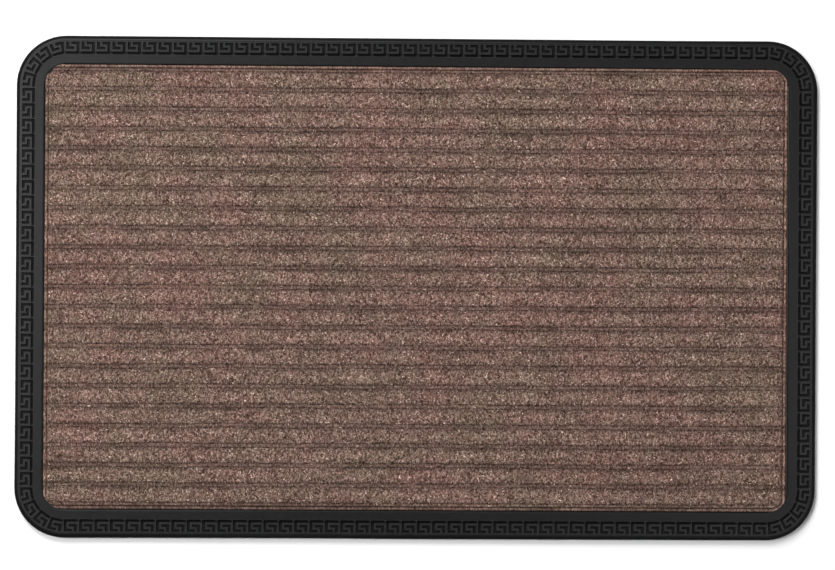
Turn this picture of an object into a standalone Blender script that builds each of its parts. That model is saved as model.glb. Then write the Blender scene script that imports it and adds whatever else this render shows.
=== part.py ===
"""Door mat: a moulded rubber tray with a Greek-key border, and a ribbed needle-felt carpet bonded into it.

The mat lies on the XY plane with its long side along X and its top facing +Z. The origin is at the middle
of the underside. Lengths are in metres.
"""

import math

import bmesh
import bpy

# Overall size of the rubber moulding
MAT_LENGTH = 0.800
MAT_WIDTH = 0.500
CORNER_RADIUS = 0.050
BORDER_HEIGHT = 0.0080
BORDER_WIDTH = 0.0278
RECESS_RADIUS = 0.0145
FLOOR_THICKNESS = 0.0030

# Outer edge: a short upright lip, then a steep bevel up to the border's top
LIP_HEIGHT = 0.0050
BEVEL_RUN = 0.0035

# Greek key: square channels pressed into the border's top
KEY_INSET = 0.0064
KEY_ROW = 0.0024
KEY_DEPTH = 0.0014
KEY_PITCH = 0.0153
KEY_PATH_INSET = 0.0110
KEY_START = 0.0123
KEY_TOLERANCE = 0.00002

# Layers bonded into the recess, from the bottom up
SIDE_GAP = 0.0008
LAYER_GAP = 0.0003
BOND_THICKNESS = 0.0005
BOND_INSET = 0.0020
BACKING_THICKNESS = 0.0012
CARPET_THICKNESS = 0.0034

# Carpet face: a pressed margin round ribs that run along X
MARGIN_WIDTH = 0.0045
MARGIN_DROP = 0.0020
RIB_PITCH = 0.0197
RIB_GROOVE_WIDTH = 0.0041
RIB_GROOVE_DEPTH = 0.0016
RIB_SHOULDER = 0.0009
RIB_FLANK_RUN = 0.0003
RIB_CROWN_STEPS = 6

ARC_SEGMENTS = 12
WELD_DISTANCE = 0.000001

# Each channel's outline in one repeat of the key, as (columns along the border, rows in from its outer side)
KEY_COLUMNS = 6
KEY_HOOK = [(3, 0), (6, 0), (6, 4.4), (5.6, 5), (0.4, 5), (0.4, 4), (5, 4), (5, 1), (3, 1)]
KEY_CORNER = [(1, 0), (2, 0), (2, 2), (4, 2), (4, 3), (1, 3)]


def clear_scene():
    for obj in list(bpy.data.objects):
        bpy.data.objects.remove(obj, do_unlink=True)


def new_collection(name):
    collection = bpy.data.collections.new(name)
    bpy.context.scene.collection.children.link(collection)
    return collection


def make_material(name, color, roughness):
    material = bpy.data.materials.new(name)
    material.use_nodes = True
    shader = material.node_tree.nodes["Principled BSDF"]
    shader.inputs["Base Color"].default_value = (*color, 1.0)
    shader.inputs["Roughness"].default_value = roughness
    shader.inputs["Metallic"].default_value = 0.0
    return material


def add_object(name, mesh, collection):
    obj = bpy.data.objects.new(name, mesh)
    collection.objects.link(obj)
    return obj


def make_cutter(obj):
    obj.hide_render = True
    obj.display_type = "WIRE"


def boolean(obj, operation, other):
    modifier = obj.modifiers.new(operation.title(), "BOOLEAN")
    modifier.operation = operation
    modifier.solver = "EXACT"
    modifier.object = other


def rounded_slab(name, collection, inset, radius, bottom, top, top_run=0.0, top_rise=0.0):
    """A slab with the mat's outline brought in by inset, and a sloped top edge where top_run is given."""
    mesh = bmesh.new()
    bmesh.ops.create_cube(mesh, size=1.0)
    size = (MAT_LENGTH - 2 * inset, MAT_WIDTH - 2 * inset, top - bottom)
    bmesh.ops.scale(mesh, vec=size, verts=mesh.verts)
    bmesh.ops.translate(mesh, vec=(0, 0, (top + bottom) / 2), verts=mesh.verts)
    upright = [e for e in mesh.edges if abs(e.verts[0].co.z - e.verts[1].co.z) > (top - bottom) / 2]
    bmesh.ops.bevel(
        mesh, geom=upright, offset=radius, offset_type="OFFSET", segments=ARC_SEGMENTS, profile=0.5,
        affect="EDGES", clamp_overlap=True,
    )
    if top_run:
        lid = max(mesh.faces, key=lambda face: face.calc_center_median().z)
        bmesh.ops.inset_region(mesh, faces=[lid], thickness=top_run, depth=top_rise, use_even_offset=True)
    data = bpy.data.meshes.new(name)
    mesh.to_mesh(data)
    mesh.free()
    return add_object(name, data, collection)


def flat_curve(name, outlines, thickness):
    """A 2D curve that fills each closed outline and is thickness deep, centred on its own plane."""
    curve = bpy.data.curves.new(name, "CURVE")
    curve.dimensions = "2D"
    curve.fill_mode = "BOTH"
    curve.extrude = thickness / 2
    for outline in outlines:
        spline = curve.splines.new("POLY")
        spline.points.add(len(outline) - 1)
        for point, (x, y) in zip(spline.points, outline):
            point.co = (x, y, 0.0, 1.0)
        spline.use_cyclic_u = True
    return bpy.data.objects.new(name, curve)


def curve_to_mesh(curve_object, collection):
    """Replaces a curve object with a mesh object in the same place, its caps welded to its walls."""
    name = curve_object.name
    collection.objects.link(curve_object)
    bpy.context.view_layer.update()
    evaluated = curve_object.evaluated_get(bpy.context.evaluated_depsgraph_get())
    data = bpy.data.meshes.new_from_object(evaluated)
    matrix = curve_object.matrix_world.copy()
    bpy.data.objects.remove(curve_object, do_unlink=True)
    mesh = bmesh.new()
    mesh.from_mesh(data)
    bmesh.ops.remove_doubles(mesh, verts=mesh.verts, dist=WELD_DISTANCE)
    bmesh.ops.recalc_face_normals(mesh, faces=mesh.faces)
    mesh.to_mesh(data)
    mesh.free()
    obj = add_object(name, data, collection)
    obj.matrix_world = matrix
    return obj


def border_lengths():
    """The straight stretch along each of the four sides, and the key path's turn at each corner."""
    side = (MAT_LENGTH - 2 * CORNER_RADIUS, MAT_WIDTH - 2 * CORNER_RADIUS)
    turn = math.pi / 2 * (CORNER_RADIUS - KEY_PATH_INSET)
    return side, turn


def border_point(along, inset):
    """The point that far along the border, clockwise from its far left corner, and inset from its edge."""
    side, turn = border_lengths()
    along %= 2 * sum(side) + 4 * turn
    half_x, half_y = side[0] / 2, side[1] / 2
    centres = [(half_x, half_y), (half_x, -half_y), (-half_x, -half_y), (-half_x, half_y)]
    radius = CORNER_RADIUS - inset
    for quarter in range(4):
        straight = side[quarter % 2]
        angle = math.pi / 2 * (1 - quarter)
        if along <= straight:
            x, y = centres[quarter - 1]
            x += along * math.sin(angle)
            y -= along * math.cos(angle)
            break
        along -= straight
        if along <= turn:
            x, y = centres[quarter]
            angle -= math.pi / 2 * along / turn
            break
        along -= turn
    return x + radius * math.cos(angle), y + radius * math.sin(angle)


def is_corner(before, point, after):
    """Whether point stands clear of the straight line between its neighbours."""
    span = (after[0] - before[0], after[1] - before[1])
    step = (point[0] - before[0], point[1] - before[1])
    return abs(span[0] * step[1] - span[1] * step[0]) > KEY_TOLERANCE * math.hypot(*span)


def laid_outline(outline, start, column):
    """A key outline laid on the border, with an extra point at each column that it passes on a corner."""
    points = []
    for (column_a, row_a), (column_b, row_b) in zip(outline, outline[1:] + outline[:1]):
        steps = max(1, round(abs(column_b - column_a)))
        for step in range(steps):
            along = start + column * (column_a + (column_b - column_a) * step / steps)
            inset = KEY_INSET + KEY_ROW * (row_a + (row_b - row_a) * step / steps)
            points.append(border_point(along, inset))
    neighbours = zip(points[-1:] + points[:-1], points, points[1:] + points[:1])
    return [point for before, point, after in neighbours if is_corner(before, point, after)]


def key_cutter(collection):
    side, turn = border_lengths()
    path = 2 * sum(side) + 4 * turn
    repeats = round(path / KEY_PITCH)
    column = path / repeats / KEY_COLUMNS
    outlines = []
    for repeat in range(repeats):
        start = KEY_START + repeat * column * KEY_COLUMNS
        outlines += [laid_outline(shape, start, column) for shape in (KEY_HOOK, KEY_CORNER)]
    curve = flat_curve("key_channels", outlines, 2 * KEY_DEPTH)
    curve.location.z = BORDER_HEIGHT
    return curve_to_mesh(curve, collection)


def rubber_base(parts, cutters, material):
    base = rounded_slab(
        "rubber_base", parts, 0.0, CORNER_RADIUS, 0.0, LIP_HEIGHT, BEVEL_RUN, BORDER_HEIGHT - LIP_HEIGHT
    )
    recess = rounded_slab(
        "recess", cutters, BORDER_WIDTH, RECESS_RADIUS, FLOOR_THICKNESS, BORDER_HEIGHT + KEY_DEPTH
    )
    for cutter in (recess, key_cutter(cutters)):
        make_cutter(cutter)
        boolean(base, "DIFFERENCE", cutter)
    base.data.materials.append(material)
    return base


def rib_profile(width, base_height, top_height):
    """Outline across the ribs: a row of crowned ribs with flat grooves between them."""
    count = round(width / RIB_PITCH)
    pitch = width / count
    half_rib = (pitch - RIB_GROOVE_WIDTH) / 2
    groove_floor = top_height - RIB_GROOVE_DEPTH
    shoulder = groove_floor + RIB_SHOULDER
    points = [(-width / 2, base_height), (-width / 2, groove_floor)]
    for rib in range(count):
        middle = -width / 2 + pitch * (rib + 0.5)
        points.append((middle - half_rib, groove_floor))
        for step in range(RIB_CROWN_STEPS + 1):
            share = 2 * step / RIB_CROWN_STEPS - 1
            crown = shoulder + (top_height - shoulder) * (1 - share**2)
            points.append((middle + (half_rib - RIB_FLANK_RUN) * share, crown))
        points.append((middle + half_rib, groove_floor))
    points += [(width / 2, groove_floor), (width / 2, base_height)]
    return points


def ribbed_carpet(parts, cutters, material, bottom):
    top = bottom + CARPET_THICKNESS
    inset = BORDER_WIDTH + SIDE_GAP
    radius = RECESS_RADIUS - SIDE_GAP
    margin_top = top - MARGIN_DROP
    field_inset = inset + MARGIN_WIDTH
    field_base = (bottom + margin_top) / 2
    carpet = rounded_slab("ribbed_carpet", parts, inset, radius, bottom, margin_top)
    outline = rounded_slab(
        "rib_field_outline", cutters, field_inset, radius - MARGIN_WIDTH, bottom, top + CARPET_THICKNESS
    )
    profile = rib_profile(MAT_WIDTH - 2 * field_inset, field_base, top)
    curve = flat_curve("rib_field", [profile], MAT_LENGTH)
    curve.rotation_euler = (math.pi / 2, 0.0, math.pi / 2)
    field = curve_to_mesh(curve, cutters)
    boolean(field, "INTERSECT", outline)
    boolean(carpet, "UNION", field)
    for cutter in (outline, field):
        make_cutter(cutter)
    carpet.data.materials.append(material)
    return carpet


def build_mat():
    clear_scene()
    parts = new_collection("door_mat")
    cutters = new_collection("cutters")
    rubber = make_material("black_rubber", (0.022, 0.022, 0.023), 0.55)
    adhesive = make_material("bond_adhesive", (0.42, 0.33, 0.16), 0.45)
    latex = make_material("latex_backing", (0.09, 0.08, 0.07), 0.80)
    felt = make_material("brown_needle_felt", (0.17, 0.11, 0.085), 0.95)

    rubber_base(parts, cutters, rubber)
    inset = BORDER_WIDTH + SIDE_GAP
    radius = RECESS_RADIUS - SIDE_GAP
    bond_bottom = FLOOR_THICKNESS + LAYER_GAP
    bond_top = bond_bottom + BOND_THICKNESS
    bond = rounded_slab(
        "bonding_layer", parts, inset + BOND_INSET, radius - BOND_INSET, bond_bottom, bond_top
    )
    bond.data.materials.append(adhesive)
    backing_bottom = bond_top + LAYER_GAP
    backing_top = backing_bottom + BACKING_THICKNESS
    backing = rounded_slab("carpet_backing", parts, inset, radius, backing_bottom, backing_top)
    backing.data.materials.append(latex)
    ribbed_carpet(parts, cutters, felt, backing_top + LAYER_GAP)


build_mat()
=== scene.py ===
"""The door mat's looks: the rubber tray with its Greek-key relief, the ribbed felt and its pile.

Lengths are in metres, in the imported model's frame: the mat lies on z = 0 with its long side along X.
"""

import math

import bmesh
import bpy
import numpy as np
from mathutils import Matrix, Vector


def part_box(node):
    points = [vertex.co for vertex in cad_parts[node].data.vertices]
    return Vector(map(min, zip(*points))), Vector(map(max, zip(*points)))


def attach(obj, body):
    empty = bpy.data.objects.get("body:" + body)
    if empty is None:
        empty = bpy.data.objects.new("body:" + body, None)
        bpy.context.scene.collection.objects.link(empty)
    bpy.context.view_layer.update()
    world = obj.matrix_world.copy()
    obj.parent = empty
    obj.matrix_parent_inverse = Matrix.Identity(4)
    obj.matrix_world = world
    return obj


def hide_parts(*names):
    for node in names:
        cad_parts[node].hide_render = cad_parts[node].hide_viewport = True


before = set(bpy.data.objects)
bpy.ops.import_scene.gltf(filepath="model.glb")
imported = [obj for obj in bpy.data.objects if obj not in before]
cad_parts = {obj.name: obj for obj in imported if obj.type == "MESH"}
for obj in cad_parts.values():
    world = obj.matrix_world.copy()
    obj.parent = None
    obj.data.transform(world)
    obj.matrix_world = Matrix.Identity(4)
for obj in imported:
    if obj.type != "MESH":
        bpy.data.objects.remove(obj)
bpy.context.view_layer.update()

MM = 0.001

# The moulding, read from the frame where the frame holds it
BASE_LOW, BASE_HIGH = (np.array(corner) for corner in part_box("rubber_base"))
CARPET_LOW, CARPET_HIGH = (np.array(corner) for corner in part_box("ribbed_carpet"))
MAT_LENGTH, MAT_WIDTH, BORDER_TOP = BASE_HIGH - np.array([BASE_LOW[0], BASE_LOW[1], 0.0])
CORNER_RADIUS = 50 * MM
RECESS_INSET = 28.3 * MM
FLOOR_TOP = 3.0 * MM

# Border's section in millimetres, as (inset, height): foot, lip, bevel and rail, then the flat band's
# insets and the recess's rounded edge, as (inset, height) from the recess and the border's top
LIP_AND_BEVEL = [
    (0.5, 0.0), (0.0, 0.5), (0.0, 4.4), (0.2, 5.0), (0.9, 5.75),
    (1.9, 6.6), (2.8, 7.35), (3.4, 7.8), (3.9, 8.0), (4.5, 8.0),
]
FLAT_INSETS = (19.4, 22.8, 26.4)
RECESS_EDGE = [(-0.8, 0.0), (-0.25, -0.2), (0.0, -0.8)]

# Moulding flaws: how far the top rises and falls, finely and broadly, and how far the outline wanders,
# which moves only the section's outermost rows
TOP_RIPPLE = 0.06 * MM
TOP_RIPPLE_SIZE = 14 * MM
TOP_SWELL = 0.10 * MM
TOP_SWELL_SIZE = 90 * MM
OUTLINE_WANDER = 0.22 * MM
OUTLINE_WANDER_SIZE = 120 * MM
OUTLINE_ROWS = 6
TRAY_SHARP = math.radians(32)

# Greek key: columns along the border, rows from its outer side. A channel is given by its first and
# last column and its first and last row
KEY_COLUMNS = 6
KEY_INSET = 6.4 * MM
KEY_ROW = 2.4 * MM
KEY_DEPTH = 1.4 * MM
KEY_PITCH = 15.3 * MM
KEY_PATH_INSET = 11.0 * MM
KEY_START = 12.3 * MM
KEY_SLOPE = 0.18 * MM
KEY_CHANNELS = [(3, 6, 0, 1), (5, 6, 0, 5), (0.4, 6, 4, 5), (1, 2, 0, 3), (1, 4, 2, 3)]
KEY_EDGES = [0, 0.4, 1, 2, 3, 4, 5, 5.6]
KEY_CHAMFER = 0.55 * MM
KEY_INNER_ROW = 3.9

# Underside: a flat rim round a shallow field of studs, which stand on the floor with the rim. A stud is
# wider at its foot in the field by STUD_FOOT
RIM_WIDTH = 14 * MM
RIM_RADIUS = 36 * MM
STUD_HEIGHT = 0.6 * MM
STUD_RADIUS = 3.4 * MM
STUD_PITCH = 20 * MM
STUD_FOOT = 1.15
STUD_SIDES = 8
STUD_CLEARANCE = 4 * MM
RIM_POINTS = 360

# Felt: how it lies against its CAD solid, and its height and painted shade across a rib and in from the
# edge
FELT_TRIM_RIGHT = 1.3 * MM
FELT_RADIUS = 13.7 * MM
FELT_HALF_X, FELT_HALF_Y = CARPET_HIGH[:2]
RIB_COUNT = 22
RIB_FIELD = 433.4 * MM
RIB_ROWS = np.array([0.0, 0.9, 1.4, 1.85, 2.3, 3.0, 4.2, 6.2, 8.2]) * MM
RIB_SHAPE = np.array([-0.95, -1.00, -1.15, -1.75, -1.30, -0.85, -0.50, -0.20, -0.04]) * MM
# Painted shade across a rib, deepest in the creases and heavier on the flank that faces the key light,
# to cancel that light's slant
TONE_ROWS = np.array(
    [-9.8, -7.0, -5.0, -4.0, -3.0, -2.0, -1.0, 0.0, 1.0, 2.0, 3.0, 4.0, 5.0, 7.0, 9.8]
) * MM
RIB_PAINTED_SHADE = np.array(
    [1.0, 0.99, 1.0, 0.98, 0.84, 0.54, 0.62, 0.74, 0.72, 0.55, 0.58, 0.73, 0.84, 0.94, 1.0]
)
# Painted shade at the felt's edge and in the seam's crease, and a painted highlight on the raised bead
# between them
SEAM_TONE_ROWS = np.array([0.0, 0.6, 1.5, 2.5, 3.4, 4.5, 6.0]) * MM
SEAM_PAINTED_SHADE_AND_HIGHLIGHT = np.array([0.50, 0.95, 1.35, 1.10, 0.45, 1.05, 1.0])
SEAM_ROWS = np.array([0.0, 0.35, 0.9, 1.8, 2.5, 3.4, 4.0, 4.9, 6.5, 9.5]) * MM
SEAM_SHAPE = np.array([-2.60, -1.75, -1.35, -1.25, -1.45, -2.30, -1.25, -0.50, -0.15, 0.0]) * MM
FELT_COLUMN = 3.7 * MM
RIB_ROWS_END = 5.5 * MM
FELT_CALM = 4 * MM
GROOVE_FADE = 20 * MM
FELT_SHARP = math.radians(60)

# Felt's unevenness, as (amount, size along X, size along Y, seed of its noise)
GROOVE_WANDERS = [(0.45 * MM, 60 * MM, 20 * MM, 4), (0.28 * MM, 17 * MM, 7 * MM, 10)]
# Varies how deep the painted shade in the creases is, from place to place
CREASE_VARIATION = (0.42, 32 * MM, 9 * MM, 11)
RIB_STREAKS = [(0.05, 40 * MM, 2.2 * MM, 7), (0.06, 22 * MM, 14 * MM, 8)]
FELT_LUMPS = [(0.16 * MM, 4.5 * MM, 3.0 * MM, 5), (0.14 * MM, 17 * MM, 9 * MM, 6)]
CREASE_FILL = (0.9, 26 * MM, 9 * MM, 9)
CREASE_FILL_OFFSET = 0.1

# Pile: clumps of a few fibres, and the share kept by their distance from a groove and from the edge
PILE_LENGTH = 2.3 * MM
PILE_WIDTH = 1.0 * MM
PILE_LIFT = 0.6 * MM
PILE_FIBRES = 3
CLUMP_WIDTHS = (0.6, 1.35)
CLUMP_LIFTS = (0.2, 1.0)
FIBRE_LENGTHS = (0.75, 1.2)
FIBRE_TONES = (0.88, 1.12)
FIBRE_CRESTS = (-0.2, 0.2)
FIBRE_SHIFT = 0.12
FIBRE_OVERLAP = 1.25
SEAM_SHORTENS = 0.45
SEAM_NARROWS = 0.4
PRESSED_FLAT = 0.55
PILE_SINK = 0.12 * MM
PILE_JITTER = 0.08 * MM
PILE_MARGIN = 0.5 * MM
PILE_PULL_IN = 0.998
GROOVE_REACH = 3.2 * MM
GROOVE_BLEND = 1.6 * MM
SEAM_REACH = 6 * MM
SEAM_BLEND = 2.5 * MM
CLUMP_SPREAD = 0.32
CROWN_TURN = math.radians(98)
CROWN_SPREAD = math.radians(62)
GROOVE_SPREAD = math.radians(30)
FIBRE_SPREAD = math.radians(9)
FIBRE_ROLL = math.radians(34)
CREASE_ROWS = np.array([0.0, 1.0, 1.5, 2.2, 2.9]) * MM
CREASE_KEEP = np.array([1.0, 0.9, 0.25, 0.25, 1.0])
SEAM_KEEP_ROWS = np.array([0.3, 0.5, 2.2, 2.9, 3.9, 4.7]) * MM
SEAM_KEEP = np.array([0.0, 1.0, 1.0, 0.3, 0.3, 1.0])

# Finishes: linear colours, each pair or triple from dark to light, and the rubber's gloss and painted
# tones
RUBBER_LOW = ((0.0056, 0.0056, 0.0060), (0.0084, 0.0085, 0.0090))
RUBBER_TOPS = ((0.0042, 0.0043, 0.0045), (0.0064, 0.0065, 0.0067))
RUBBER_GLOSS = (0.05, 0.22)
# Painted highlight lightens the key's ridges; painted shade darkens the key's innermost channel and the
# lip and bevel
RIDGE_PAINTED_HIGHLIGHT = 2.4
CHANNEL_TONE = 1.0
INNER_CHANNEL_PAINTED_SHADE = 0.4
BEVEL_PAINTED_SHADE = 0.6
BEVEL_ROWS = 7
TOP_FADE = (0.60 * MM, 0.25 * MM)
FELT_TINTS = ((0.029, 0.014, 0.009), (0.146, 0.090, 0.071), (0.395, 0.272, 0.228))
BEIGE = ((0.29, 0.200, 0.168), (0.41, 0.298, 0.255), (0.55, 0.418, 0.364))
BROWN = ((0.148, 0.090, 0.071), (0.202, 0.126, 0.101), (0.26, 0.166, 0.136))
DARK = ((0.030, 0.0135, 0.0085), (0.053, 0.026, 0.018), (0.090, 0.049, 0.036))
OLIVE = ((0.145, 0.103, 0.073), (0.218, 0.160, 0.118), (0.30, 0.23, 0.175))
FELT_SPECKLE, FIBRE_SPECKLE = 620, 700
FELT_RELIEF, FIBRE_RELIEF = 0.35 * MM, 0.12 * MM
PINK_LEAN = (1.06, 0.965, 0.975)
NO_LEAN = (1.01, 0.99, 0.98)
OLIVE_LEAN = (0.96, 1.0, 0.94)
SOILED = (0.86, 0.86, 0.86)
CLEAN = (1.12, 1.12, 1.12)
ADHESIVE = ((0.30, 0.22, 0.09), (0.46, 0.37, 0.18))
LATEX = ((0.05, 0.044, 0.038), (0.12, 0.105, 0.09))
WHITE_PAPER = (0.93, 0.93, 0.93, 1)

# Each pile: its number of clumps, the seed of its random draws and its tints
PILES = {
    "pile_beige_a": (22000, 1, BEIGE),
    "pile_beige_b": (22000, 5, BEIGE),
    "pile_brown_a": (21000, 2, BROWN),
    "pile_brown_b": (21000, 6, BROWN),
    "pile_dark_a": (25000, 3, DARK),
    "pile_dark_b": (25000, 7, DARK),
    "pile_olive": (15000, 4, OLIVE),
}

# Studio: how bright the surroundings are at the horizon, up the walls and overhead
SKY_HORIZON = (0.62, 0.62, 0.62)
SKY_WALL = (0.04, 0.04, 0.04)
SKY_TOP = (0.01, 0.01, 0.01)
FLOOR_SIZE = 6.0
FLOOR_GAP = 0.2 * MM

# Each softbox: its size, its place and its power in watts; they all face the middle of the mat
SOFTBOXES = {
    "key_light": ((1.7, 1.7), (-1.2, 2.95, 2.55), 172),
    "left_light": ((0.5, 1.2), (-1.4, 0.3, 2.2), 40),
    "right_light": ((0.5, 1.6), (1.15, -0.2, 2.1), 12),
    "front_light": ((2.4, 0.6), (0.2, -2.6, 1.1), 6),
}
CAMERA_PLACE = (-0.0515, 0.0027, 2.6)
CAMERA_TILT = (0.016, -1.147, 0.365)
CAMERA_LENS = 112.02
CAMERA_SENSOR = 36.0

SEED = 11
LATTICE = 512


def smooth_step(t):
    t = np.clip(t, 0.0, 1.0)
    return t * t * (3 - 2 * t)


def soft_noise(x, y, size_x, size_y, seed):
    """Smooth noise from -1 to 1 over the plane, with features about size_x by size_y."""
    lattice = np.random.default_rng(SEED * 1000 + seed).uniform(-1, 1, (LATTICE, LATTICE))
    u, v = x / size_x + 200, y / size_y + 200
    iu, iv = np.floor(u).astype(int), np.floor(v).astype(int)
    fu, fv = smooth_step(u - iu), smooth_step(v - iv)
    iu, iv = iu % LATTICE, iv % LATTICE
    next_u, next_v = (iu + 1) % LATTICE, (iv + 1) % LATTICE
    low = lattice[iu, iv] * (1 - fu) + lattice[next_u, iv] * fu
    high = lattice[iu, next_v] * (1 - fu) + lattice[next_u, next_v] * fu
    return low * (1 - fv) + high * fv


def layered_noise(x, y, layers):
    """The sum of layers of smooth noise, each given by its amount, its two sizes and its seed."""
    return sum(amount * soft_noise(x, y, *sizes_and_seed) for amount, *sizes_and_seed in layers)


def new_piece(name, points, faces):
    mesh = bpy.data.meshes.new(name)
    mesh.from_pydata([tuple(p) for p in points], [], faces)
    mesh.validate()
    mesh.update()
    piece = bpy.data.objects.new(name, mesh)
    bpy.context.scene.collection.objects.link(piece)
    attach(piece, "root")
    return piece


def set_tone(piece, tone):
    """Stores how light each vertex is on the piece, for its material to read; it carries painted shade
    and painted highlight along with random tone.
    """
    layer = piece.data.attributes.new("tone", "FLOAT", "POINT")
    layer.data.foreach_set("value", np.asarray(tone, np.float32).ravel())


# ---------------------------------------------------------------- rubber tray


def border_xy(along, inset):
    """Points so far along, clockwise round the border from its far left corner, and so far inset."""
    along, inset = np.broadcast_arrays(along, inset)
    sides = (MAT_LENGTH - 2 * CORNER_RADIUS, MAT_WIDTH - 2 * CORNER_RADIUS)
    turn = math.pi / 2 * (CORNER_RADIUS - KEY_PATH_INSET)
    left = along % (2 * sum(sides) + 4 * turn)
    mx, my = sides[0] / 2, sides[1] / 2
    centres = [(mx, my), (mx, -my), (-mx, -my), (-mx, my)]
    x, y, angle = np.zeros_like(left), np.zeros_like(left), np.zeros_like(left)
    todo = np.ones(left.shape, bool)
    for quarter in range(4):
        straight, first = sides[quarter % 2], math.pi / 2 * (1 - quarter)
        here = todo & (left <= straight)
        x[here] = centres[quarter - 1][0] + left[here] * math.sin(first)
        y[here] = centres[quarter - 1][1] - left[here] * math.cos(first)
        angle[here] = first
        todo &= ~here
        left = left - np.where(todo, straight, 0)
        here = todo & (left <= turn)
        x[here], y[here] = centres[quarter]
        angle[here] = first - math.pi / 2 * left[here] / turn
        todo &= ~here
        left = left - np.where(todo, turn, 0)
    radius = CORNER_RADIUS - inset
    return x + radius * np.cos(angle), y + radius * np.sin(angle)


def key_layout():
    """The width of one key column, the number of repeats and the length of the path they follow."""
    straight = 2 * (MAT_LENGTH + MAT_WIDTH - 4 * CORNER_RADIUS)
    path = straight + 2 * math.pi * (CORNER_RADIUS - KEY_PATH_INSET)
    repeats = round(path / KEY_PITCH)
    return path / repeats / KEY_COLUMNS, repeats, path


def channel_depth(column, row, column_width):
    """How deep the key is at a column and row of one repeat, from 0 on a ridge to 1 in a channel."""
    distance = np.full(np.broadcast(column, row).shape, 1.0)
    for left, right, top, bottom in KEY_CHANNELS:
        for shift in (-KEY_COLUMNS, 0, KEY_COLUMNS):
            off_middle = np.abs(column - shift - (left + right) / 2)
            across = (off_middle - (right - left) / 2) * column_width
            down = (np.abs(row - (top + bottom) / 2) - (bottom - top) / 2) * KEY_ROW
            outside = np.hypot(np.maximum(across, 0), np.maximum(down, 0))
            distance = np.minimum(distance, outside + np.minimum(np.maximum(across, down), 0))
    for shift in (-KEY_COLUMNS, 0, KEY_COLUMNS):
        from_end = column - shift - KEY_COLUMNS
        corner = (from_end * column_width + (row - 5) * KEY_ROW) / math.sqrt(2)
        near = (np.abs(from_end) < 1) & (row > 4)
        distance = np.where(near, np.maximum(distance, corner + KEY_CHAMFER), distance)
    return smooth_step(0.5 - distance / (2 * KEY_SLOPE))


def tray_rows():
    """The border's section as (inset, height, key row or None), from its foot to the recess floor."""
    top = BORDER_TOP
    rows = [(inset * MM, height * MM, None) for inset, height in LIP_AND_BEVEL]
    for row in range(6):
        for side in (-1, 1):
            inset = KEY_INSET + row * KEY_ROW + side * KEY_SLOPE
            rows.append((inset, top, row + side * KEY_SLOPE / KEY_ROW))
    rows += [(inset * MM, top, None) for inset in FLAT_INSETS]
    rows += [(RECESS_INSET + inset * MM, top + drop * MM, None) for inset, drop in RECESS_EDGE]
    rows.append((RECESS_INSET, FLOOR_TOP, None))
    return rows


def stud_places():
    """The middles of the studs, on a square grid that keeps clear of the rim's rounded corners."""
    places = []
    reach = RIM_WIDTH + STUD_RADIUS + STUD_CLEARANCE
    half_x, half_y = MAT_LENGTH / 2 - reach, MAT_WIDTH / 2 - reach
    count_x, count_y = int(2 * half_x / STUD_PITCH), int(2 * half_y / STUD_PITCH)
    for i in range(count_x + 1):
        for j in range(count_y + 1):
            x, y = (i - count_x / 2) * STUD_PITCH, (j - count_y / 2) * STUD_PITCH
            over_x, over_y = abs(x) - (half_x - RIM_RADIUS), abs(y) - (half_y - RIM_RADIUS)
            if over_x < 0 or over_y < 0 or math.hypot(over_x, over_y) < RIM_RADIUS:
                places.append((x, y))
    return places


def ring(mesh, centre, radius, height):
    """The corners of one stud's top or foot."""
    corners = []
    for k in range(STUD_SIDES):
        turn = 2 * math.pi * (k + 0.5) / STUD_SIDES
        x, y = centre[0] + radius * math.cos(turn), centre[1] + radius * math.sin(turn)
        corners.append(mesh.verts.new((x, y, height)))
    return corners


def fill(mesh, edges):
    bmesh.ops.triangle_fill(mesh, use_beauty=False, use_dissolve=False, edges=edges)


def add_underside(mesh, foot):
    """Closes the tray inside the foot loop: a rim, a step up to the field, and its studs."""
    _, _, path = key_layout()
    count = RIM_POINTS
    x, y = border_xy(np.arange(count) * path / count, np.full(count, RIM_WIDTH))
    rim = [mesh.verts.new((a, b, 0.0)) for a, b in zip(x, y)]
    field = [mesh.verts.new((a, b, STUD_HEIGHT)) for a, b in zip(x, y)]
    rim_edges = [mesh.edges.new((rim[i], rim[(i + 1) % count])) for i in range(count)]
    field_edges = [mesh.edges.new((field[i], field[(i + 1) % count])) for i in range(count)]
    for i in range(count):
        j = (i + 1) % count
        mesh.faces.new((rim[i], rim[j], field[j], field[i]))
    foot_edges = [mesh.edges.get((foot[i], foot[(i + 1) % len(foot)])) for i in range(len(foot))]
    fill(mesh, foot_edges + rim_edges)
    for place in stud_places():
        top = ring(mesh, place, STUD_FOOT * STUD_RADIUS, STUD_HEIGHT)
        low = ring(mesh, place, STUD_RADIUS, 0.0)
        for k in range(STUD_SIDES):
            n = (k + 1) % STUD_SIDES
            mesh.faces.new((top[k], top[n], low[n], low[k]))
            field_edges.append(mesh.edges.get((top[k], top[n])))
        mesh.faces.new(low)
    fill(mesh, field_edges)


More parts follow.
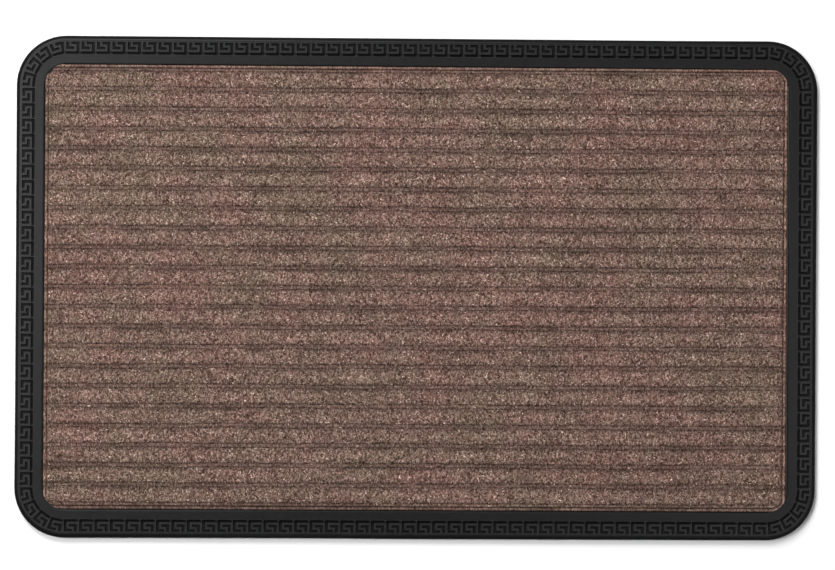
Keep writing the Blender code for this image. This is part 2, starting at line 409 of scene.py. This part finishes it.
def build_tray():
    column_width, repeats, _ = key_layout()
    slope = KEY_SLOPE / column_width
    cuts = np.sort(np.array([edge + side * slope for edge in KEY_EDGES for side in (-1, 1)]))
    columns = (np.arange(repeats)[:, None] * KEY_COLUMNS + cuts[None, :]).ravel()
    along = KEY_START + columns * column_width
    rows = tray_rows()
    inset = np.array([row[0] for row in rows])[:, None]
    x, y = border_xy(along[None, :], np.broadcast_to(inset, (len(rows), len(along))))
    z = np.repeat(np.array([row[1] for row in rows])[:, None], len(along), axis=1)
    tone = np.ones_like(z)
    # Painted shade on the lip and bevel
    tone[:BEVEL_ROWS] = BEVEL_PAINTED_SHADE
    for i, (_, _, key_row) in enumerate(rows):
        if key_row is not None:
            depth = channel_depth(columns % KEY_COLUMNS, np.full(len(along), key_row), column_width)
            # Painted highlight on the key's ridges, painted shade in the key's innermost channel
            channel_tone = INNER_CHANNEL_PAINTED_SHADE if key_row > KEY_INNER_ROW else CHANNEL_TONE
            z[i] -= KEY_DEPTH * depth
            tone[i] = RIDGE_PAINTED_HIGHLIGHT * (1 - depth) + channel_tone * depth
    ripple = TOP_RIPPLE * soft_noise(x, y, TOP_RIPPLE_SIZE, TOP_RIPPLE_SIZE, 1)
    swell = TOP_SWELL * soft_noise(x, y, TOP_SWELL_SIZE, TOP_SWELL_SIZE, 2)
    z += (z > FLOOR_TOP + 1 * MM) * (ripple + swell)
    wander = OUTLINE_WANDER * soft_noise(x, y, OUTLINE_WANDER_SIZE, OUTLINE_WANDER_SIZE, 3)
    wander *= (np.arange(len(rows)) < OUTLINE_ROWS)[:, None]
    x, y = x * (1 - wander / (MAT_LENGTH / 2)), y * (1 - wander / (MAT_WIDTH / 2))

    mesh = bmesh.new()
    layer = mesh.verts.layers.float.new("tone")
    grid = [[mesh.verts.new(point) for point in zip(x[i], y[i], z[i])] for i in range(len(rows))]
    for line, line_tone in zip(grid, tone):
        for vertex, value in zip(line, line_tone):
            vertex[layer] = value
    count = len(along)
    for low, high in zip(grid, grid[1:]):
        for j in range(count):
            n = (j + 1) % count
            mesh.faces.new((low[j], high[j], high[n], low[n]))
    mesh.faces.new(grid[-1])
    add_underside(mesh, grid[0])
    bmesh.ops.recalc_face_normals(mesh, faces=mesh.faces)
    data = bpy.data.meshes.new("rubber_tray")
    mesh.to_mesh(data)
    mesh.free()
    data.shade_smooth()
    data.set_sharp_from_angle(angle=TRAY_SHARP)
    tray = bpy.data.objects.new("rubber_tray", data)
    bpy.context.scene.collection.objects.link(tray)
    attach(tray, "root")
    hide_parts("rubber_base")
    return tray


# ---------------------------------------------------------------- ribbed felt


def felt_half_x(y, side):
    """How far the felt reaches along X at y, round its corners; side is -1 left or 1 right."""
    half_x = FELT_HALF_X - (FELT_TRIM_RIGHT if side > 0 else 0.0)
    over = np.maximum(np.abs(y) - (FELT_HALF_Y - FELT_RADIUS), 0.0)
    return half_x - FELT_RADIUS + np.sqrt(np.maximum(FELT_RADIUS**2 - over**2, 0.0))


def edge_distance(x, y):
    """How far inside the felt's outline a point is."""
    half_x = (2 * FELT_HALF_X - FELT_TRIM_RIGHT) / 2
    middle = -FELT_TRIM_RIGHT / 2
    across = np.abs(x - middle) - (half_x - FELT_RADIUS)
    down = np.abs(y) - (FELT_HALF_Y - FELT_RADIUS)
    outside = np.hypot(np.maximum(across, 0), np.maximum(down, 0))
    return FELT_RADIUS - (outside + np.minimum(np.maximum(across, down), 0))


def groove_offset(x, y):
    """How far a point is in front of the middle of the nearest groove; negative behind it."""
    pitch = RIB_FIELD / RIB_COUNT
    fade = smooth_step((FELT_HALF_Y - np.abs(y)) / GROOVE_FADE)
    wander = fade * layered_noise(x, y, GROOVE_WANDERS)
    return pitch / 2 - (y + wander + pitch / 2) % pitch


def felt_tone(x, y):
    """How light the felt is: painted shade down in the creases, heavier on each groove's flank that
    faces the key light to cancel its slant, painted shade and a painted highlight in from the edge, and
    a faint streak along each rib.
    """
    shade = 1 - np.interp(groove_offset(x, y), TONE_ROWS, RIB_PAINTED_SHADE)
    tone = 1 - shade * (1 + layered_noise(x, y, [CREASE_VARIATION]))
    tone *= np.interp(edge_distance(x, y), SEAM_TONE_ROWS, SEAM_PAINTED_SHADE_AND_HIGHLIGHT)
    return tone * (1 + layered_noise(x, y, RIB_STREAKS))


def felt_height(x, y):
    rib = np.interp(np.abs(groove_offset(x, y)), RIB_ROWS, RIB_SHAPE)
    seam = np.interp(edge_distance(x, y), SEAM_ROWS, SEAM_SHAPE)
    calm = smooth_step(edge_distance(x, y) / FELT_CALM)
    return CARPET_HIGH[2] + np.minimum(rib, seam) + calm * layered_noise(x, y, FELT_LUMPS)


def felt_grid():
    """Rows across the ribs, close together at their feet, and columns as shares of half the width."""
    pitch = RIB_FIELD / RIB_COUNT
    offsets = np.concatenate([-RIB_ROWS[:0:-1], RIB_ROWS, [pitch / 2]])
    rows = (np.arange(RIB_COUNT + 1)[:, None] * pitch - RIB_FIELD / 2 + offsets[None, :]).ravel()
    rows = rows[np.abs(rows) < FELT_HALF_Y - RIB_ROWS_END]
    edge = FELT_HALF_Y - SEAM_ROWS[:-2]
    rows = np.sort(np.concatenate([rows, edge, -edge]))
    inner = FELT_HALF_X - SEAM_ROWS[-1]
    middle = np.linspace(-inner, inner, round(2 * inner / FELT_COLUMN))
    sides = FELT_HALF_X - SEAM_ROWS[:-1]
    columns = np.sort(np.concatenate([middle, sides, -sides])) / FELT_HALF_X
    return rows, columns


def build_felt():
    rows, columns = felt_grid()
    y = np.repeat(rows[:, None], len(columns), axis=1)
    share = np.repeat(columns[None, :], len(rows), axis=0)
    x = np.where(share < 0, share * felt_half_x(y, -1), share * felt_half_x(y, 1))
    z = felt_height(x, y)
    count_y, count_x = x.shape
    index = np.arange(count_y * count_x).reshape(count_y, count_x)
    points = np.stack([x, y, z], axis=-1).reshape(-1, 3).tolist()
    corners = [index[:-1, :-1], index[:-1, 1:], index[1:, 1:], index[1:, :-1]]
    faces = np.stack(corners, axis=-1).reshape(-1, 4).tolist()
    rim = np.concatenate([index[0, :], index[1:, -1], index[-1, -2::-1], index[-2:0:-1, 0]]).tolist()
    low = []
    for i in rim:
        low.append(len(points))
        points.append([points[i][0], points[i][1], CARPET_LOW[2]])
    for k in range(len(rim)):
        n = (k + 1) % len(rim)
        faces.append([rim[k], low[k], low[n], rim[n]])
    faces.append(low[::-1])
    felt = new_piece("ribbed_felt", points, faces)
    places = np.array(points)
    set_tone(felt, felt_tone(places[:, 0], places[:, 1]))
    mesh = bmesh.new()
    mesh.from_mesh(felt.data)
    bmesh.ops.recalc_face_normals(mesh, faces=mesh.faces)
    mesh.to_mesh(felt.data)
    mesh.free()
    felt.data.shade_smooth()
    felt.data.set_sharp_from_angle(angle=FELT_SHARP)
    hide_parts("ribbed_carpet")
    return felt


def clump_places(rng, count):
    """Where the clumps of fibre stand: fewest down in the creases and in the seam along the edge."""
    x = rng.uniform(-FELT_HALF_X, FELT_HALF_X - FELT_TRIM_RIGHT, 2 * count)
    y = rng.uniform(-FELT_HALF_Y, FELT_HALF_Y, 2 * count)
    crease = np.interp(np.abs(groove_offset(x, y)), CREASE_ROWS, CREASE_KEEP)
    crease += (1 - crease) * np.clip(layered_noise(x, y, [CREASE_FILL]) - CREASE_FILL_OFFSET, 0, 1)
    seam = np.interp(edge_distance(x, y), SEAM_KEEP_ROWS, SEAM_KEEP)
    kept = rng.uniform(size=2 * count) < np.minimum(crease, seam)
    return x[kept][:count], y[kept][:count]


def build_pile(name, count, seed):
    """Clumps of fibres that arch out of the felt: across the ribs' crowns, and along the grooves."""
    rng = np.random.default_rng(SEED * 100 + seed)
    x, y = clump_places(rng, count)
    count = len(x)
    in_groove = smooth_step((GROOVE_REACH - np.abs(groove_offset(x, y))) / GROOVE_BLEND)
    near_seam = smooth_step((SEAM_REACH - edge_distance(x, y)) / SEAM_BLEND)
    crown_turn = CROWN_TURN + rng.normal(0, CROWN_SPREAD, count)
    groove_turn = rng.normal(0, GROOVE_SPREAD, count)
    clump_turn = np.where(rng.uniform(size=count) < in_groove, groove_turn, crown_turn)
    clump_length = rng.lognormal(math.log(PILE_LENGTH), CLUMP_SPREAD, count)
    clump_length *= 1 - SEAM_SHORTENS * near_seam
    clump_half = rng.uniform(*CLUMP_WIDTHS, count) * PILE_WIDTH / 2 * (1 - SEAM_NARROWS * near_seam)
    pressed = 1 - PRESSED_FLAT * np.maximum(in_groove, near_seam)
    clump_lift = rng.uniform(*CLUMP_LIFTS, count) * PILE_LIFT * pressed
    # Each clump takes the felt's painted shade and highlight at its place, times a random tone
    clump_tone = felt_tone(x, y) * rng.lognormal(0.0, CLUMP_SPREAD, count)
    points = np.zeros((PILE_FIBRES, count, 4, 3))
    tones = np.zeros((PILE_FIBRES, count, 4))
    for fibre in range(PILE_FIBRES):
        turn = clump_turn + rng.normal(0, FIBRE_SPREAD, count)
        ahead = np.stack([np.cos(turn), np.sin(turn)], axis=-1)
        aside = np.stack([-ahead[:, 1], ahead[:, 0]], axis=-1)
        length = clump_length * rng.uniform(*FIBRE_LENGTHS, count)
        place = (fibre - (PILE_FIBRES - 1) / 2) * 2 * clump_half / PILE_FIBRES
        place += rng.normal(0, PILE_JITTER, count)
        middle = np.stack([x, y], axis=-1) + aside * place[:, None]
        middle += ahead * (rng.normal(0, FIBRE_SHIFT, count) * length)[:, None]
        half = FIBRE_OVERLAP * clump_half / PILE_FIBRES
        roll = rng.normal(0, FIBRE_ROLL, count)
        crest = rng.uniform(*FIBRE_CRESTS, count)
        diamond = ((-0.5, 0), (crest, -1), (0.5, 0), (crest, 1))
        for corner, (share, side) in enumerate(diamond):
            spot = middle + ahead * (share * length)[:, None]
            spot += side * aside * (half * np.cos(roll))[:, None]
            too_far = edge_distance(spot[:, 0], spot[:, 1]) < PILE_MARGIN
            spot *= np.where(too_far, PILE_PULL_IN, 1.0)[:, None]
            height = felt_height(spot[:, 0], spot[:, 1]) - PILE_SINK
            height += (clump_lift if side else 0.0) + side * half * np.sin(roll)
            points[fibre, :, corner] = np.column_stack([spot, height])
        tones[fibre] = (clump_tone * rng.uniform(*FIBRE_TONES, count))[:, None]
    base = np.arange(PILE_FIBRES * count)[:, None] * 4
    faces = np.concatenate([base + np.array([0, 1, 3]), base + np.array([2, 3, 1])]).tolist()
    pile = new_piece(name, points.reshape(-1, 3), faces)
    set_tone(pile, tones)
    pile.data.shade_smooth()
    return pile


# ---------------------------------------------------------------- materials


def node_material(name):
    material = bpy.data.materials.new(name)
    material.use_nodes = True
    nodes = material.node_tree.nodes
    return material, nodes, material.node_tree.links, nodes["Principled BSDF"]


def noise(nodes, links, place, scale, detail=3.0, roughness=0.6, stretch=(1, 1, 1), offset=0.0):
    mapping = nodes.new("ShaderNodeMapping")
    mapping.inputs["Scale"].default_value = stretch
    mapping.inputs["Location"].default_value = (offset, offset * 0.37, offset * 0.71)
    links.new(place, mapping.inputs["Vector"])
    texture = nodes.new("ShaderNodeTexNoise")
    texture.inputs["Scale"].default_value = scale
    texture.inputs["Detail"].default_value = detail
    texture.inputs["Roughness"].default_value = roughness
    links.new(mapping.outputs["Vector"], texture.inputs["Vector"])
    return texture.outputs["Fac"]


def ramp(nodes, links, factor, stops):
    node = nodes.new("ShaderNodeValToRGB")
    elements = node.color_ramp.elements
    while len(elements) < len(stops):
        elements.new(0.5)
    for element, (position, color) in zip(elements, stops):
        element.position = position
        element.color = (*color, 1.0)
    links.new(factor, node.inputs["Fac"])
    return node.outputs["Color"]


def mix_color(nodes, links, blend, factor, a, b):
    node = nodes.new("ShaderNodeMix")
    node.data_type = "RGBA"
    node.blend_type = blend
    if isinstance(factor, float):
        node.inputs["Factor"].default_value = factor
    else:
        links.new(factor, node.inputs["Factor"])
    for socket, value in ((node.inputs[6], a), (node.inputs[7], b)):
        if isinstance(value, tuple):
            socket.default_value = (*value, 1.0)
        else:
            links.new(value, socket)
    return node.outputs[2]


def multiply(nodes, links, a, b):
    return mix_color(nodes, links, "MULTIPLY", 1.0, a, b)


def map_range(nodes, links, value, low, high, to_low, to_high):
    node = nodes.new("ShaderNodeMapRange")
    limits = {"From Min": low, "From Max": high, "To Min": to_low, "To Max": to_high}
    for name, number in limits.items():
        node.inputs[name].default_value = number
    links.new(value, node.inputs["Value"])
    return node.outputs["Result"]


def bump(nodes, links, height, strength, distance, normal=None):
    node = nodes.new("ShaderNodeBump")
    node.inputs["Strength"].default_value = strength
    node.inputs["Distance"].default_value = distance
    links.new(height, node.inputs["Height"])
    if normal is not None:
        links.new(normal, node.inputs["Normal"])
    return node.outputs["Normal"]


def place_on_piece(nodes):
    return nodes.new("ShaderNodeTexCoord").outputs["Object"]


def stored_tone(nodes):
    tone = nodes.new("ShaderNodeAttribute")
    tone.attribute_name = "tone"
    return tone.outputs["Color"]


def rubber_material():
    """Black moulded rubber: its tops are glossier, and its stored tone paints a highlight on the key's
    ridges and paints shade into the key's innermost channel and onto the lip and bevel.
    """
    material, nodes, links, shader = node_material("moulded_rubber")
    place = place_on_piece(nodes)
    height = nodes.new("ShaderNodeSeparateXYZ")
    links.new(place, height.inputs["Vector"])
    top_starts, top_whole = BORDER_TOP - TOP_FADE[0], BORDER_TOP - TOP_FADE[1]
    on_top = map_range(nodes, links, height.outputs["Z"], top_starts, top_whole, 0.0, 1.0)
    cloud = noise(nodes, links, place, scale=26, detail=4)
    pits = noise(nodes, links, place, scale=300, offset=3.0)
    low = ramp(nodes, links, cloud, [(0.3, RUBBER_LOW[0]), (0.7, RUBBER_LOW[1])])
    tops = ramp(nodes, links, pits, [(0.3, RUBBER_TOPS[0]), (0.7, RUBBER_TOPS[1])])
    color = mix_color(nodes, links, "MIX", on_top, low, tops)
    # Painted highlight and painted shade from the stored tone
    color = multiply(nodes, links, color, stored_tone(nodes))
    links.new(color, shader.inputs["Base Color"])
    links.new(map_range(nodes, links, pits, 0.3, 0.7, 0.37, 0.47), shader.inputs["Roughness"])
    gloss = map_range(nodes, links, on_top, 0.0, 1.0, *RUBBER_GLOSS)
    links.new(gloss, shader.inputs["Specular IOR Level"])
    rounded = nodes.new("ShaderNodeBevel")
    rounded.samples = 4
    rounded.inputs["Radius"].default_value = 0.2 * MM
    grain = noise(nodes, links, place, scale=1000, detail=2, roughness=0.5)
    coarse = bump(nodes, links, pits, 0.3, 0.15 * MM, rounded.outputs["Normal"])
    links.new(bump(nodes, links, grain, 0.25, 0.05 * MM, coarse), shader.inputs["Normal"])
    return material


def felt_material(name, tints, speckle_scale, bump_depth):
    """Melange felt: a speckle between tints, over slow patches that lean pink or olive."""
    material, nodes, links, shader = node_material(name)
    place = place_on_piece(nodes)
    speckle = noise(nodes, links, place, speckle_scale, roughness=0.7, stretch=(1.0, 0.55, 1.0))
    patch = noise(nodes, links, place, scale=17, roughness=0.55, offset=5.0)
    light = noise(nodes, links, place, scale=60, offset=9.0)
    low, middle, high = tints
    color = ramp(nodes, links, speckle, [(0.32, low), (0.5, middle), (0.68, high)])
    # The stored tone paints shade into the felt's creases and edge and a highlight onto the edge's
    # bead; the pile's fibres carry the same painted shade
    color = multiply(nodes, links, color, stored_tone(nodes))
    hue = ramp(nodes, links, patch, [(0.36, PINK_LEAN), (0.5, NO_LEAN), (0.64, OLIVE_LEAN)])
    color = multiply(nodes, links, color, hue)
    shade = ramp(nodes, links, light, [(0.3, SOILED), (0.7, CLEAN)])
    color = multiply(nodes, links, color, shade)
    links.new(color, shader.inputs["Base Color"])
    links.new(map_range(nodes, links, speckle, 0.3, 0.7, 0.98, 0.82), shader.inputs["Roughness"])
    shader.inputs["Specular IOR Level"].default_value = 0.1
    stretch = (1.0, 0.3, 1.0)
    fibres = noise(nodes, links, place, scale=1100, roughness=0.7, stretch=stretch, offset=2.0)
    links.new(bump(nodes, links, fibres, 0.6, bump_depth), shader.inputs["Normal"])
    return material


def adhesive_material():
    material, nodes, links, shader = node_material("contact_adhesive")
    smear = noise(nodes, links, place_on_piece(nodes), scale=90, detail=4, stretch=(1, 0.2, 1))
    color = ramp(nodes, links, smear, [(0.3, ADHESIVE[0]), (0.7, ADHESIVE[1])])
    links.new(color, shader.inputs["Base Color"])
    links.new(map_range(nodes, links, smear, 0.3, 0.7, 0.35, 0.6), shader.inputs["Roughness"])
    links.new(bump(nodes, links, smear, 0.4, 0.2 * MM), shader.inputs["Normal"])
    return material


def latex_material():
    material, nodes, links, shader = node_material("latex_coating")
    crumb = noise(nodes, links, place_on_piece(nodes), scale=420, detail=4, roughness=0.7)
    color = ramp(nodes, links, crumb, [(0.3, LATEX[0]), (0.7, LATEX[1])])
    links.new(color, shader.inputs["Base Color"])
    links.new(map_range(nodes, links, crumb, 0.3, 0.7, 0.7, 0.92), shader.inputs["Roughness"])
    links.new(bump(nodes, links, crumb, 0.6, 0.3 * MM), shader.inputs["Normal"])
    return material


def dress(piece, material):
    piece.data.materials.clear()
    piece.data.materials.append(material)


# ---------------------------------------------------------------- studio


def build_floor():
    bpy.ops.mesh.primitive_plane_add(size=FLOOR_SIZE, location=(0, 0, -FLOOR_GAP))
    floor = bpy.context.object
    floor.name = "studio_floor"
    material, _, _, shader = node_material("white_paper")
    shader.inputs["Base Color"].default_value = WHITE_PAPER
    shader.inputs["Roughness"].default_value = 0.9
    shader.inputs["Specular IOR Level"].default_value = 0.1
    floor.data.materials.append(material)


def build_world():
    """A dim room that is bright only low down, past the edge of the paper."""
    world = bpy.data.worlds.new("studio")
    world.use_nodes = True
    nodes, links = world.node_tree.nodes, world.node_tree.links
    direction = nodes.new("ShaderNodeSeparateXYZ")
    links.new(nodes.new("ShaderNodeTexCoord").outputs["Generated"], direction.inputs["Vector"])
    stops = [(0.03, SKY_HORIZON), (0.16, SKY_WALL), (0.9, SKY_TOP)]
    color = ramp(nodes, links, direction.outputs["Z"], stops)
    links.new(color, nodes["Background"].inputs["Color"])
    bpy.context.scene.world = world


def build_softboxes():
    for name, (size, place, power) in SOFTBOXES.items():
        lamp = bpy.data.lights.new(name, "AREA")
        lamp.shape = "RECTANGLE"
        lamp.size, lamp.size_y = size
        lamp.energy = power
        holder = bpy.data.objects.new(name, lamp)
        holder.location = place
        holder.rotation_euler = (-holder.location).to_track_quat("-Z", "Y").to_euler()
        bpy.context.scene.collection.objects.link(holder)


def build_camera():
    data = bpy.data.cameras.new("camera")
    data.sensor_width = CAMERA_SENSOR
    data.lens = CAMERA_LENS
    camera = bpy.data.objects.new("camera", data)
    camera.location = CAMERA_PLACE
    camera.rotation_euler = [math.radians(angle) for angle in CAMERA_TILT]
    bpy.context.scene.collection.objects.link(camera)
    bpy.context.scene.camera = camera


build_camera()
build_floor()
build_world()
build_softboxes()

tray = build_tray()
felt = build_felt()
for pile_name, (clumps, pile_seed, tints) in PILES.items():
    pile = build_pile(pile_name, clumps, pile_seed)
    dress(pile, felt_material(pile_name + "_fibre", tints, FIBRE_SPECKLE, FIBRE_RELIEF))
dress(tray, rubber_material())
dress(felt, felt_material("needle_felt", FELT_TINTS, FELT_SPECKLE, FELT_RELIEF))
dress(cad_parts["bonding_layer"], adhesive_material())
dress(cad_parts["carpet_backing"], latex_material())

scene = bpy.context.scene
scene.view_settings.view_transform = "Standard"
scene.view_settings.look = "None"
scene.view_settings.exposure = 0.0
